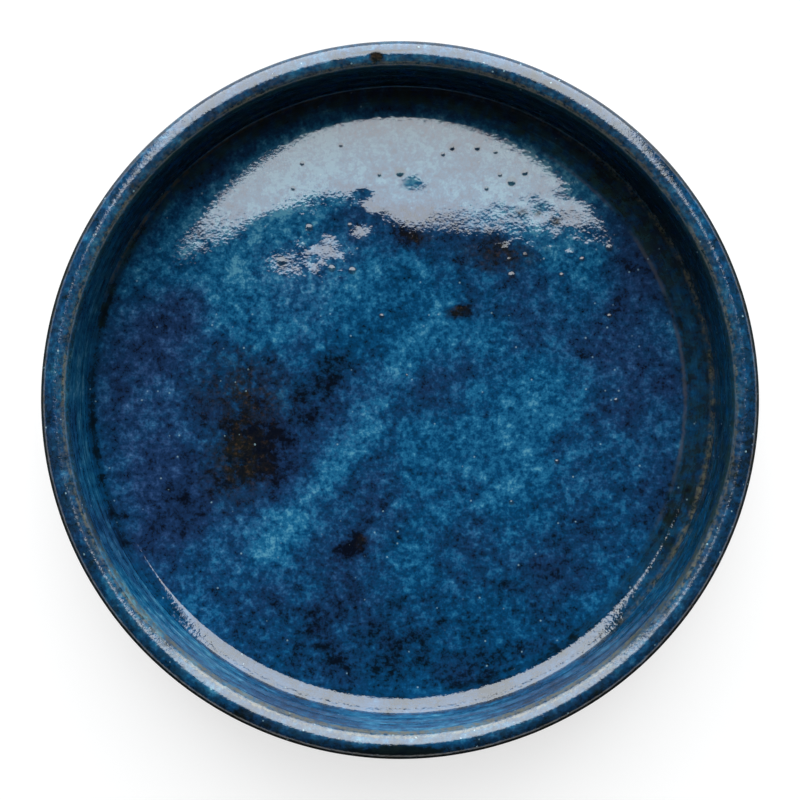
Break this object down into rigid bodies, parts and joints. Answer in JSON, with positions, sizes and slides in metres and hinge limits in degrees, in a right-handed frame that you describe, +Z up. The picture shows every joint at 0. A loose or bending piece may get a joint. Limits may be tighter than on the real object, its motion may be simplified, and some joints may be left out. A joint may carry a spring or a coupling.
{
  "type": "plant saucer",
  "caption": "Round glazed stoneware plant saucer with a rounded rim, a steep finger-marked inside wall, a ledge and cove round a flat floor, and an unglazed base with a foot ring.",
  "frame": {"origin": "centre of the foot ring, on the ground that the saucer stands on", "axes": "+Z up along the axis of the wheel, +X and +Y level, +Y towards the picture's upper edge"},
  "size_m": [0.3, 0.3, 0.051],
  "materials": {
    "bare_stoneware": "matt, fired, with fine grog",
    "poured_blue_glaze": "glossy, mottled navy and teal",
    "dipped_blue_glaze": "glossy, mottled blue that breaks to brown on edges"
  },
  "bodies": {
    "root": {"clay_body": "bare_stoneware", "inside_glaze": "poured_blue_glaze", "outside_glaze": "dipped_blue_glaze"}
  },
  "joints": []
}
